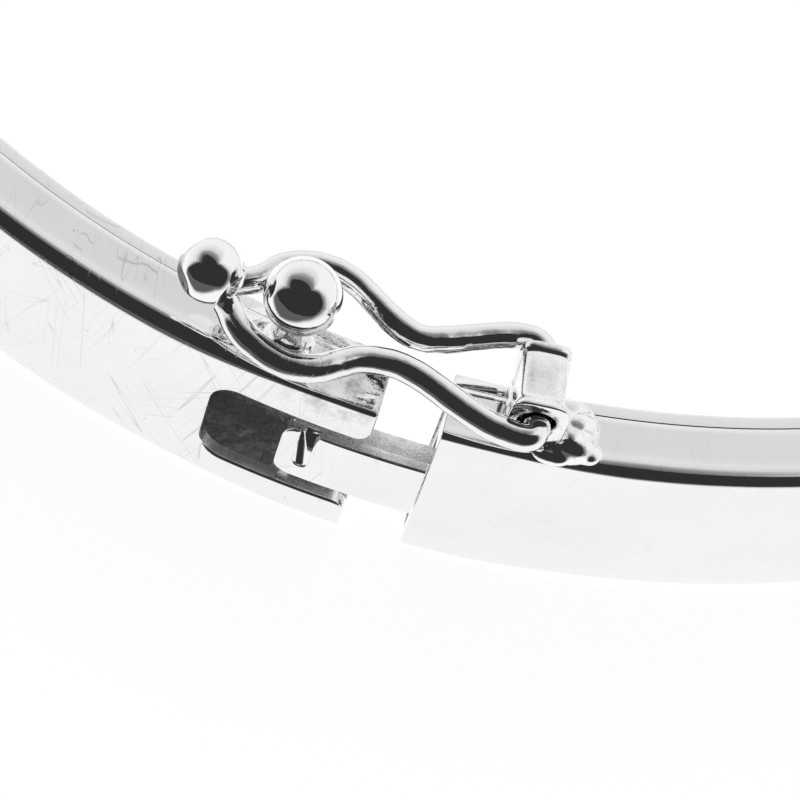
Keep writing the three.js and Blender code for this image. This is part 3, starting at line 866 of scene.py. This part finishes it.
def build_post():
    end, bore = POST["length"] / 2, POST["bore"]
    count, edge = 72, 0.045
    edges = [(0.0, edge), (edge * 0.3, edge * 0.3), (edge, 0.0)]
    outer = [(-end + far, FRONT_RIM - inset) for far, inset in edges]
    outer += [(-end + far, FRONT_RIM * part) for far, part in FRONT_FLARE]
    outer += [(0.0, 0.0)]
    outer += [(end - far, grow) for far, grow in REAR_GROOVE]
    outer += [(end - far, REAR_RIM - inset) for far, inset in reversed(edges)]
    rings = []
    for distance, grow in outer:
        loop = squarish(POST["width"] / 2 + grow, POST["height"] / 2 + grow, count)
        rings.append(round_post(distance, loop))
    inner = [(end - far, bore + grow) for far, grow in BORE_FLARE]
    inner += [(-end + far, bore + grow) for far, grow in reversed(BORE_FLARE)]
    rings += [round_post(distance, circle(radius, count)) for distance, radius in inner]
    post = loft("catch_post_fine", rings, closed=True, sharp=ROUND_SHARP)
    finish_piece(post, "tongue_half", "worn_silver", FILED, "catch_post")

    floor = WIDTH - LIP
    under = WIDTH + WIRE_RISE - POST["height"] / 2
    lumps = []
    for distance in (-0.75, -0.35, 0.05, 0.45, 0.8):
        for x in (-0.45, 0.0, 0.45):
            centre = along_post(distance) + POST_SIDE * x + Vector((0, 0, floor + 0.12 - POST_CENTRE.z))
            lumps.append((centre, (0.36, 0.36, under - floor - 0.02)))
    for across, depth, height, radii in SOLDER_LUMPS:
        lumps.append((on_band(turn_at(POST["across"] + across), depth, floor + height), radii))
    solder = melted("post_solder_lump", lumps)
    finish_piece(solder, "tongue_half", "silver_solder", SOLDER, "catch_post_solder")


# ---- hinge ----


def knuckle_loop(side, inset, z):
    """A barrel with a tab to one side, long enough to reach the end cap of its half."""
    barrel, tab, reach = HINGE["barrel"], HINGE["tab"], HINGE_END - 0.1
    loop = []
    for c, s in circle(1, KNUCKLE_POINTS):
        size = barrel
        if c * side > 0 and abs(s) * barrel < tab and abs(s) * reach / abs(c) < tab:
            size = max(barrel, reach / abs(c))
        loop.append(Vector((c * (size - inset), HINGE["y"] + s * (size - inset), z)))
    return loop


def build_hinge():
    bore, clear, edge = HINGE["bore"], HINGE["clear"], 0.06
    low, lower_top, upper_foot, high = KNUCKLE_Z
    leaves = (
        ("hinge_knuckle_lower", "box_half", BOX, low, lower_top),
        ("hinge_knuckle_middle", "tongue_half", TONGUED, lower_top + clear, upper_foot - clear),
        ("hinge_knuckle_upper", "box_half", BOX, upper_foot, high),
    )
    for node, body, side, z0, z1 in leaves:
        levels = [(z0, edge), (z0 + edge * 0.3, edge * 0.3), (z0 + edge, 0)]
        levels += [(z1 - edge, 0), (z1 - edge * 0.3, edge * 0.3), (z1, edge)]
        rings = [knuckle_loop(side, inset, z) for z, inset in levels]
        for z, radius in ((z1, bore + 0.04), (z1 - 0.05, bore), (z0 + 0.05, bore), (z0, bore + 0.04)):
            rings.append([Vector((x, HINGE["y"] + y, z)) for x, y in circle(radius, KNUCKLE_POINTS)])
        knuckle = loft(node + "_fine", rings, closed=True, sharp=ROUND_SHARP)
        finish_piece(knuckle, body, "worn_silver", FILED, node)
    pin, head, bottom = HINGE["pin"], HINGE["head"], low - 0.2
    profile = [(0, bottom), (head * 0.45, bottom + 0.01), (head * 0.8, bottom + 0.05)]
    profile += [(head * 0.97, bottom + 0.12), (head, low - SEAM), (pin, low - SEAM)]
    profile += [(radius, low + high - z) for radius, z in reversed(profile)]
    rivet = turned("hinge_pin_fine", profile, Vector((0, HINGE["y"], 0)), 48, 0.006)
    finish_piece(rivet, "box_half", "worn_silver", FILED, "hinge_pin")


# ---- stage, light and camera ----


VIEW_BACK = Vector((-0.04568, -0.5582, 0.82845)).normalized()
VIEW_ROLL = math.radians(20.74)
VIEW_TARGET = Vector((-0.38, -25.622, 4.53))
VIEW_DISTANCE = 138.0
VIEW_LENS = 202.8


def build_camera():
    camera = bpy.data.cameras.new("photo camera")
    camera.lens, camera.sensor_width = VIEW_LENS, 36
    camera.clip_start, camera.clip_end = 0.005, 10
    holder = bpy.data.objects.new("photo camera", camera)
    bpy.context.scene.collection.objects.link(holder)
    aim = (-VIEW_BACK).to_track_quat("-Z", "Y").to_matrix().to_4x4()
    turned_frame = aim @ Matrix.Rotation(VIEW_ROLL, 4, "Z")
    holder.matrix_world = Matrix.Translation((VIEW_TARGET + VIEW_BACK * VIEW_DISTANCE) * MM) @ turned_frame
    bpy.context.scene.camera = holder


def vector_of(tree, operation, source, other):
    node = add_node(tree, "ShaderNodeVectorMath", operation=operation)
    node.inputs[1].default_value = other
    link(tree, source, node.inputs[0])
    return node.outputs["Value"] if operation == "DOT_PRODUCT" else node.outputs["Vector"]


# The dark zone of the studio, where the photographer stands. For directions in the picture, clockwise from
# up in steps of 30 degrees: the angle from the camera where the dark ends, and the one where white starts.
DARK_ZONE = (
    (42, 72), (32, 62), (28, 38), (50, 64), (66, 84), (69, 78),
    (67, 75), (77, 84), (89, 95), (86, 92), (42, 60), (57, 76),
)
# Brightness across the border of the dark zone, which runs from 0 to 0.5, and over the white beyond it.
GLOW_STOPS = ((0.0, 0.032), (0.015, 0.05), (0.04, 0.16), (0.2, 0.22), (0.36, 0.40), (0.5, 0.72), (1.0, 0.94))
GLOW_CENTRE = Vector((-1.5, -27, 7.5))  # the place, by the clasp, from which the floor copies the studio
FLOOR_SIZE, FLOOR_DROP = 1.6, 0.00003  # in metres
# The second is the white light that the floor gives off towards the camera; it is painted light, as the floor
# is no lamp.
FLOOR_GREY, FLOOR_GLOW_TO_CAMERA = 0.22, 0.93


def studio_glow(tree, direction):
    """Brightness of the studio in a direction from the clasp: white all round the dark zone."""
    axes = (VIEW_BACK, *camera_axes())
    ahead, sideways, upwards = [vector_of(tree, "DOT_PRODUCT", direction, axis) for axis in axes]
    from_camera = math_of(tree, "DIVIDE", math_of(tree, "ARCCOSINE", ahead), math.pi)
    turned_by = math_of(tree, "ARCTAN2", sideways, upwards)
    clock = math_of(tree, "FRACT", math_of(tree, "DIVIDE", turned_by, 2 * math.pi))
    limits = []
    for which in (0, 1):
        angles = [zone[which] for zone in (*DARK_ZONE, DARK_ZONE[0])]
        stops = [(i / len(DARK_ZONE), angle / 180) for i, angle in enumerate(angles)]
        limits.append(ramp(tree, clock, stops))
    past_dark = math_of(tree, "SUBTRACT", from_camera, limits[0])
    border = math_of(tree, "SUBTRACT", limits[1], limits[0])
    part = math_of(tree, "DIVIDE", past_dark, math_of(tree, "MULTIPLY", border, 2.0))
    return ramp(tree, part, GLOW_STOPS)


def camera_axes():
    """The directions that are right and up in the picture."""
    level_right = Vector((0, 0, 1)).cross(VIEW_BACK).normalized()
    level_up = VIEW_BACK.cross(level_right)
    right = level_right * math.cos(VIEW_ROLL) + level_up * math.sin(VIEW_ROLL)
    return right, VIEW_BACK.cross(right)


def white_to_camera(tree, glow, white):
    """Plain white where the camera looks straight at it, and glow for every other ray."""
    seen = add_node(tree, "ShaderNodeLightPath").outputs["Is Camera Ray"]
    mix = add_node(tree, "ShaderNodeMix", data_type="RGBA")
    mix.inputs["B"].default_value = (white, white, white, 1)
    link(tree, seen, mix.inputs["Factor"])
    link(tree, glow, mix.inputs["A"])
    return mix.outputs["Result"]


def build_world():
    world = bpy.data.worlds.new("studio")
    bpy.context.scene.world = world
    world.use_nodes = True
    tree = world.node_tree
    direction = add_node(tree, "ShaderNodeTexCoord").outputs["Generated"]
    colour = white_to_camera(tree, studio_glow(tree, direction), 1.0)
    link(tree, colour, tree.nodes["Background"].inputs["Color"])


# Painted light: the floor glows though it is no lamp. It gives off plain white to the camera, and to every
# other ray the studio's glow with its dark zone, as seen from the clasp, for the silver to reflect.
def build_floor():
    bpy.ops.mesh.primitive_plane_add(size=FLOOR_SIZE, location=(0, 0, -FLOOR_DROP))
    floor = bpy.context.object
    floor.name = "floor"
    material = bpy.data.materials.new("glowing floor")
    material.use_nodes = True
    tree = material.node_tree
    shader = tree.nodes["Principled BSDF"]
    shader.inputs["Base Color"].default_value = (FLOOR_GREY, FLOOR_GREY, FLOOR_GREY, 1)
    shader.inputs["Roughness"].default_value = 0.9
    shader.inputs["Specular IOR Level"].default_value = 0.0
    place_on_floor = add_node(tree, "ShaderNodeTexCoord").outputs["Object"]
    from_clasp = vector_of(tree, "SUBTRACT", place_on_floor, GLOW_CENTRE * MM)
    direction = add_node(tree, "ShaderNodeVectorMath", operation="NORMALIZE")
    link(tree, from_clasp, direction.inputs[0])
    glow = studio_glow(tree, direction.outputs["Vector"])
    # Painted light: the floor's emission is the studio's glow, dark zone and all, for reflections, and white
    # for the camera.
    link(tree, white_to_camera(tree, glow, FLOOR_GLOW_TO_CAMERA), shader.inputs["Emission Color"])
    shader.inputs["Emission Strength"].default_value = 1.0
    floor.data.materials.append(material)


build_camera()
build_world()
build_floor()
build_halves()
build_plates()
build_tongue()
build_ball()
build_tip()
build_wire()
build_post()
build_hinge()

bpy.context.scene.view_settings.view_transform = "Standard"
